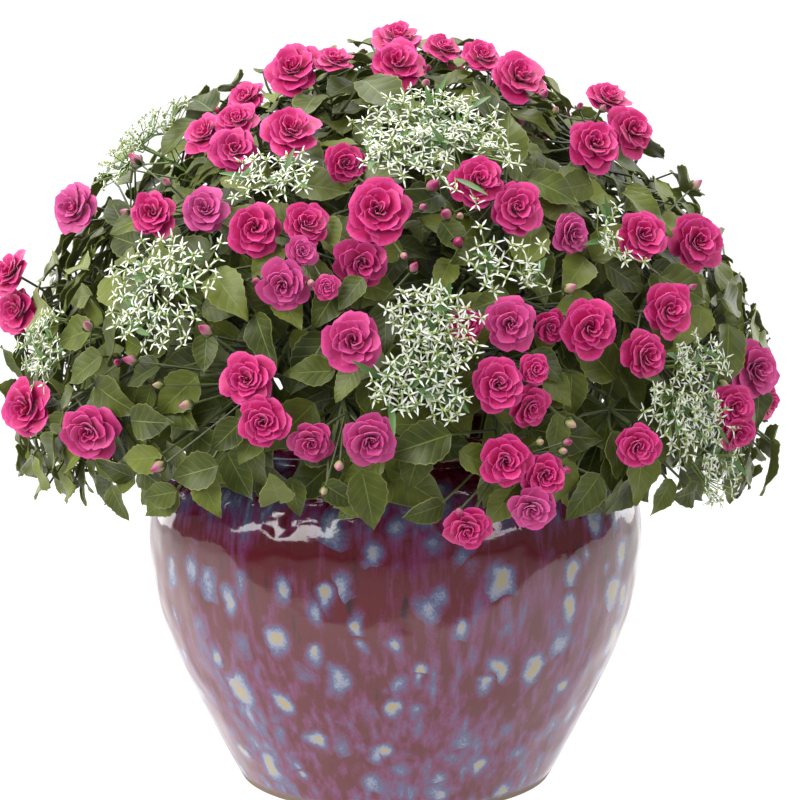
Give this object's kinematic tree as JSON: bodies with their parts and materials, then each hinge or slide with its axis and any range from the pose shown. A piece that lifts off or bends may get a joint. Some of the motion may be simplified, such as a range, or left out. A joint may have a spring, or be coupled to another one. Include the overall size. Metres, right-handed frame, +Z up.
{
  "type": "potted busy lizzie",
  "caption": "Busy lizzie in flower: a domed mound of leafy stems and double blooms with white spurge sprays, growing in a round-bellied glazed pot.",
  "frame": {"origin": "middle of the pot's flat base, on the surface that it stands on", "axes": "+Z up along the pot's axis, -Y towards the side that was seen"},
  "size_m": [0.6473, 0.6586, 0.6269],
  "materials": {
    "glaze": "gloss",
    "soil": "matte",
    "leaves": "satin",
    "petals": "satin",
    "bracts": "matte"
  },
  "bodies": {
    "root": {"flower_head_01": "petals", "flower_head_02": "petals", "flower_head_03": "petals", "flower_head_04": "petals", "flower_head_05": "petals", "flower_head_06": "petals", "flower_head_07": "petals", "flower_head_08": "petals", "flower_head_09": "petals", "flower_head_10": "petals", "flower_head_11": "petals", "flower_head_12": "petals", "flower_head_13": "petals", "flower_head_14": "petals", "flower_head_15": "petals", "flower_head_16": "petals", "flower_head_17": "petals", "flower_head_18": "petals", "flower_head_19": "petals", "flower_head_20": "petals", "flower_head_21": "petals", "flower_head_22": "petals", "flower_head_23": "petals", "flower_head_24": "petals", "flower_head_25": "petals", "flower_head_26": "petals", "flower_head_27": "petals", "flower_head_28": "petals", "flower_head_29": "petals", "flower_head_30": "petals", "flower_head_31": "petals", "flower_head_32": "petals", "flower_head_33": "petals", "leafy_stem_01": "leaves", "leafy_stem_02": "leaves", "leafy_stem_03": "leaves", "leafy_stem_04": "leaves", "leafy_stem_05": "leaves", "leafy_stem_06": "leaves", "leafy_stem_07": "leaves", "leafy_stem_08": "leaves", "leafy_stem_09": "leaves", "leafy_stem_10": "leaves", "leafy_stem_11": "leaves", "leafy_stem_12": "leaves", "pot": "glaze", "soil": "soil", "spurge_spray_01": "bracts", "spurge_spray_02": "bracts", "spurge_spray_03": "bracts", "spurge_spray_04": "bracts", "spurge_spray_05": "bracts", "spurge_spray_06": "bracts", "spurge_spray_07": "bracts", "spurge_spray_08": "bracts", "spurge_spray_09": "bracts", "spurge_spray_10": "bracts", "spurge_spray_11": "bracts", "spurge_spray_12": "bracts", "spurge_spray_13": "bracts"}
  },
  "joints": []
}
